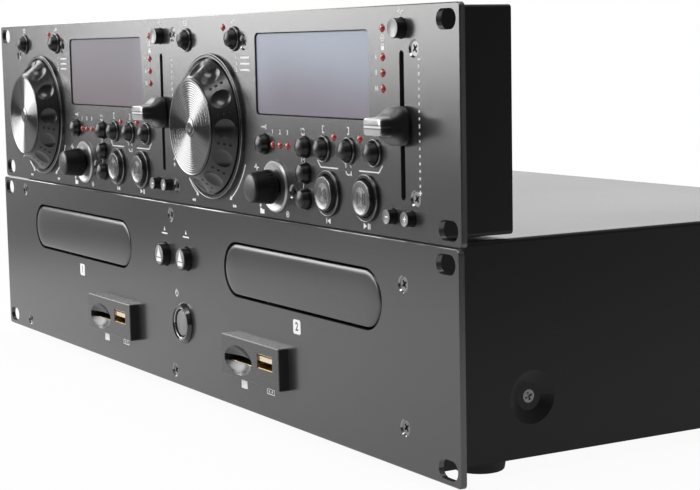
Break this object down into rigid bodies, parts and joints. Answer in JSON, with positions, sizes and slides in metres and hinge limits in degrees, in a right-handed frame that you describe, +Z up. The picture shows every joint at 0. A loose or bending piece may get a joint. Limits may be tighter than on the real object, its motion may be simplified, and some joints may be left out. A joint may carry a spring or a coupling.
{
  "type": "twin disc player with controller",
  "caption": "Rack-mount twin disc player: a front-loading player with two trays, and on it a controller with jog wheels, faders, displays and buttons.",
  "frame": {"origin": "on the ground, at the middle of the whole object's width and depth", "axes": "+X to the right seen from the front, +Z up, the front looks towards -Y"},
  "size_m": [0.4826, 0.266, 0.1813],
  "materials": {
    "panel_paint": "fine satin grey paint",
    "case_paint": "satin near-black paint",
    "button_black": "satin black",
    "jog_black": "satin black rim, spun grey plate",
    "knob_black": "ribbed black",
    "plunger_white": "satin",
    "tray_black": "satin, door painted as the panel",
    "hub_white": "satin black",
    "power_grey": "satin",
    "board_green": "solder mask",
    "display_window": "clear window over a grey-blue cell",
    "led_red": "tinted clear dome",
    "bezel_black": "gloss black, collars satin grey",
    "screw_black": "black zinc",
    "drive_grey": "satin",
    "port_grey": "satin grey, as the panel",
    "socket_black": "satin",
    "foot_rubber": "matte",
    "bezel_gloss": "gloss black"
  },
  "bodies": {
    "player": {"player_panel": "panel_paint", "chassis": "case_paint", "top_cover": "case_paint", "disc_drives": "drive_grey", "circuit_boards": "board_green", "media_ports": "port_grey", "rear_sockets": "socket_black", "feet": "foot_rubber", "player_screws": "screw_black", "power_bezel": "bezel_gloss"},
    "controller": {"controller_panel": "panel_paint", "controller_case": "case_paint", "controller_board": "board_green", "display_windows": "display_window", "indicator_leds": "led_red", "button_bezels": "bezel_black", "controller_screws": "screw_black"},
    "mode_button_left": {"mode_button_left": "button_black"},
    "program_button_left": {"program_button_left": "button_black"},
    "source_button_left": {"source_button_left": "button_black"},
    "repeat_button_left": {"repeat_button_left": "button_black"},
    "time_button_left": {"time_button_left": "button_black"},
    "single_button_left": {"single_button_left": "button_black"},
    "loop_in_button_left": {"loop_in_button_left": "button_black"},
    "loop_out_button_left": {"loop_out_button_left": "button_black"},
    "reloop_button_left": {"reloop_button_left": "button_black"},
    "cue_button_left": {"cue_button_left": "button_black"},
    "play_button_left": {"play_button_left": "button_black"},
    "pitch_button_left": {"pitch_button_left": "button_black"},
    "minus_button_left": {"minus_button_left": "button_black"},
    "plus_button_left": {"plus_button_left": "button_black"},
    "jog_wheel_left": {"jog_wheel_left": "jog_black"},
    "pitch_fader_left": {"pitch_fader_left": "button_black"},
    "track_plunger_left": {"track_plunger_left": "plunger_white"},
    "track_knob_left": {"track_knob_left": "knob_black"},
    "mode_button_right": {"mode_button_right": "button_black"},
    "program_button_right": {"program_button_right": "button_black"},
    "source_button_right": {"source_button_right": "button_black"},
    "repeat_button_right": {"repeat_button_right": "button_black"},
    "time_button_right": {"time_button_right": "button_black"},
    "single_button_right": {"single_button_right": "button_black"},
    "loop_in_button_right": {"loop_in_button_right": "button_black"},
    "loop_out_button_right": {"loop_out_button_right": "button_black"},
    "reloop_button_right": {"reloop_button_right": "button_black"},
    "cue_button_right": {"cue_button_right": "button_black"},
    "play_button_right": {"play_button_right": "button_black"},
    "pitch_button_right": {"pitch_button_right": "button_black"},
    "minus_button_right": {"minus_button_right": "button_black"},
    "plus_button_right": {"plus_button_right": "button_black"},
    "jog_wheel_right": {"jog_wheel_right": "jog_black"},
    "pitch_fader_right": {"pitch_fader_right": "button_black"},
    "track_plunger_right": {"track_plunger_right": "plunger_white"},
    "track_knob_right": {"track_knob_right": "knob_black"},
    "disc_tray_left": {"disc_tray_left": "tray_black"},
    "disc_spindle_left": {"disc_spindle_left": "hub_white"},
    "eject_button_left": {"eject_button_left": "button_black"},
    "disc_tray_right": {"disc_tray_right": "tray_black"},
    "disc_spindle_right": {"disc_spindle_right": "hub_white"},
    "eject_button_right": {"eject_button_right": "button_black"},
    "power_button": {"power_button": "power_grey"}
  },
  "joints": [
    {"name": "controller_lift", "type": "slide", "parent": "player", "child": "controller", "axis": [0, 0, 1], "range_m": [0, 0.06]},
    {"name": "mode_button_left_press", "type": "slide", "parent": "controller", "child": "mode_button_left", "axis": [0, 1, 0], "range_m": [0, 0.001], "stiffness_N_per_m": 400, "springref_m": -0.0005},
    {"name": "program_button_left_press", "type": "slide", "parent": "controller", "child": "program_button_left", "axis": [0, 1, 0], "range_m": [0, 0.001], "stiffness_N_per_m": 400, "springref_m": -0.0005},
    {"name": "source_button_left_press", "type": "slide", "parent": "controller", "child": "source_button_left", "axis": [0, 1, 0], "range_m": [0, 0.001], "stiffness_N_per_m": 400, "springref_m": -0.0005},
    {"name": "repeat_button_left_press", "type": "slide", "parent": "controller", "child": "repeat_button_left", "axis": [0, 1, 0], "range_m": [0, 0.001], "stiffness_N_per_m": 400, "springref_m": -0.0005},
    {"name": "time_button_left_press", "type": "slide", "parent": "controller", "child": "time_button_left", "axis": [0, 1, 0], "range_m": [0, 0.001], "stiffness_N_per_m": 400, "springref_m": -0.0005},
    {"name": "single_button_left_press", "type": "slide", "parent": "controller", "child": "single_button_left", "axis": [0, 1, 0], "range_m": [0, 0.001], "stiffness_N_per_m": 400, "springref_m": -0.0005},
    {"name": "loop_in_button_left_press", "type": "slide", "parent": "controller", "child": "loop_in_button_left", "axis": [0, 1, 0], "range_m": [0, 0.001], "stiffness_N_per_m": 400, "springref_m": -0.0005},
    {"name": "loop_out_button_left_press", "type": "slide", "parent": "controller", "child": "loop_out_button_left", "axis": [0, 1, 0], "range_m": [0, 0.001], "stiffness_N_per_m": 400, "springref_m": -0.0005},
    {"name": "reloop_button_left_press", "type": "slide", "parent": "controller", "child": "reloop_button_left", "axis": [0, 1, 0], "range_m": [0, 0.001], "stiffness_N_per_m": 400, "springref_m": -0.0005},
    {"name": "cue_button_left_press", "type": "slide", "parent": "controller", "child": "cue_button_left", "axis": [0, 1, 0], "range_m": [0, 0.001], "stiffness_N_per_m": 400, "springref_m": -0.0005},
    {"name": "play_button_left_press", "type": "slide", "parent": "controller", "child": "play_button_left", "axis": [0, 1, 0], "range_m": [0, 0.001], "stiffness_N_per_m": 400, "springref_m": -0.0005},
    {"name": "pitch_button_left_press", "type": "slide", "parent": "controller", "child": "pitch_button_left", "axis": [0, 1, 0], "range_m": [0, 0.001], "stiffness_N_per_m": 400, "springref_m": -0.0005},
    {"name": "minus_button_left_press", "type": "slide", "parent": "controller", "child": "minus_button_left", "axis": [0, 1, 0], "range_m": [0, 0.001], "stiffness_N_per_m": 400, "springref_m": -0.0005},
    {"name": "plus_button_left_press", "type": "slide", "parent": "controller", "child": "plus_button_left", "axis": [0, 1, 0], "range_m": [0, 0.001], "stiffness_N_per_m": 400, "springref_m": -0.0005},
    {"name": "jog_wheel_left_spin", "type": "hinge", "parent": "controller", "child": "jog_wheel_left", "pos_m": [-0.1763, -0.11955, 0.131], "axis": [0, -1, 0], "continuous": true},
    {"name": "pitch_fader_left_slide", "type": "slide", "parent": "controller", "child": "pitch_fader_left", "axis": [0, 0, 1], "range_m": [-0.0225, 0.0225]},
    {"name": "track_plunger_left_press", "type": "slide", "parent": "controller", "child": "track_plunger_left", "axis": [0, 1, 0], "range_m": [0, 0.0008], "stiffness_N_per_m": 600, "springref_m": -0.0005},
    {"name": "track_knob_left_spin", "type": "hinge", "parent": "track_plunger_left", "child": "track_knob_left", "pos_m": [-0.1159, -0.11955, 0.1073], "axis": [0, -1, 0], "continuous": true},
    {"name": "mode_button_right_press", "type": "slide", "parent": "controller", "child": "mode_button_right", "axis": [0, 1, 0], "range_m": [0, 0.001], "stiffness_N_per_m": 400, "springref_m": -0.0005},
    {"name": "program_button_right_press", "type": "slide", "parent": "controller", "child": "program_button_right", "axis": [0, 1, 0], "range_m": [0, 0.001], "stiffness_N_per_m": 400, "springref_m": -0.0005},
    {"name": "source_button_right_press", "type": "slide", "parent": "controller", "child": "source_button_right", "axis": [0, 1, 0], "range_m": [0, 0.001], "stiffness_N_per_m": 400, "springref_m": -0.0005},
    {"name": "repeat_button_right_press", "type": "slide", "parent": "controller", "child": "repeat_button_right", "axis": [0, 1, 0], "range_m": [0, 0.001], "stiffness_N_per_m": 400, "springref_m": -0.0005},
    {"name": "time_button_right_press", "type": "slide", "parent": "controller", "child": "time_button_right", "axis": [0, 1, 0], "range_m": [0, 0.001], "stiffness_N_per_m": 400, "springref_m": -0.0005},
    {"name": "single_button_right_press", "type": "slide", "parent": "controller", "child": "single_button_right", "axis": [0, 1, 0], "range_m": [0, 0.001], "stiffness_N_per_m": 400, "springref_m": -0.0005},
    {"name": "loop_in_button_right_press", "type": "slide", "parent": "controller", "child": "loop_in_button_right", "axis": [0, 1, 0], "range_m": [0, 0.001], "stiffness_N_per_m": 400, "springref_m": -0.0005},
    {"name": "loop_out_button_right_press", "type": "slide", "parent": "controller", "child": "loop_out_button_right", "axis": [0, 1, 0], "range_m": [0, 0.001], "stiffness_N_per_m": 400, "springref_m": -0.0005},
    {"name": "reloop_button_right_press", "type": "slide", "parent": "controller", "child": "reloop_button_right", "axis": [0, 1, 0], "range_m": [0, 0.001], "stiffness_N_per_m": 400, "springref_m": -0.0005},
    {"name": "cue_button_right_press", "type": "slide", "parent": "controller", "child": "cue_button_right", "axis": [0, 1, 0], "range_m": [0, 0.001], "stiffness_N_per_m": 400, "springref_m": -0.0005},
    {"name": "play_button_right_press", "type": "slide", "parent": "controller", "child": "play_button_right", "axis": [0, 1, 0], "range_m": [0, 0.001], "stiffness_N_per_m": 400, "springref_m": -0.0005},
    {"name": "pitch_button_right_press", "type": "slide", "parent": "controller", "child": "pitch_button_right", "axis": [0, 1, 0], "range_m": [0, 0.001], "stiffness_N_per_m": 400, "springref_m": -0.0005},
    {"name": "minus_button_right_press", "type": "slide", "parent": "controller", "child": "minus_button_right", "axis": [0, 1, 0], "range_m": [0, 0.001], "stiffness_N_per_m": 400, "springref_m": -0.0005},
    {"name": "plus_button_right_press", "type": "slide", "parent": "controller", "child": "plus_button_right", "axis": [0, 1, 0], "range_m": [0, 0.001], "stiffness_N_per_m": 400, "springref_m": -0.0005},
    {"name": "jog_wheel_right_spin", "type": "hinge", "parent": "controller", "child": "jog_wheel_right", "pos_m": [0.04, -0.11955, 0.131], "axis": [0, -1, 0], "continuous": true},
    {"name": "pitch_fader_right_slide", "type": "slide", "parent": "controller", "child": "pitch_fader_right", "axis": [0, 0, 1], "range_m": [-0.0225, 0.0225]},
    {"name": "track_plunger_right_press", "type": "slide", "parent": "controller", "child": "track_plunger_right", "axis": [0, 1, 0], "range_m": [0, 0.0008], "stiffness_N_per_m": 600, "springref_m": -0.0005},
    {"name": "track_knob_right_spin", "type": "hinge", "parent": "track_plunger_right", "child": "track_knob_right", "pos_m": [0.1004, -0.11955, 0.1073], "axis": [0, -1, 0], "continuous": true},
    {"name": "disc_tray_left_slide", "type": "slide", "parent": "player", "child": "disc_tray_left", "axis": [0, -1, 0], "range_m": [0, 0.135]},
    {"name": "disc_spindle_left_spin", "type": "hinge", "parent": "player", "child": "disc_spindle_left", "pos_m": [-0.1224, -0.04985, 0.055], "axis": [0, 0, 1], "continuous": true},
    {"name": "eject_button_left_press", "type": "slide", "parent": "player", "child": "eject_button_left", "axis": [0, 1, 0], "range_m": [0, 0.0015], "stiffness_N_per_m": 400, "springref_m": -0.0005},
    {"name": "disc_tray_right_slide", "type": "slide", "parent": "player", "child": "disc_tray_right", "axis": [0, -1, 0], "range_m": [0, 0.135]},
    {"name": "disc_spindle_right_spin", "type": "hinge", "parent": "player", "child": "disc_spindle_right", "pos_m": [0.1194, -0.04985, 0.055], "axis": [0, 0, 1], "continuous": true},
    {"name": "eject_button_right_press", "type": "slide", "parent": "player", "child": "eject_button_right", "axis": [0, 1, 0], "range_m": [0, 0.0015], "stiffness_N_per_m": 400, "springref_m": -0.0005},
    {"name": "power_button_press", "type": "slide", "parent": "player", "child": "power_button", "axis": [0, 1, 0], "range_m": [0, 0.003], "stiffness_N_per_m": 400, "springref_m": -0.0005}
  ]
}
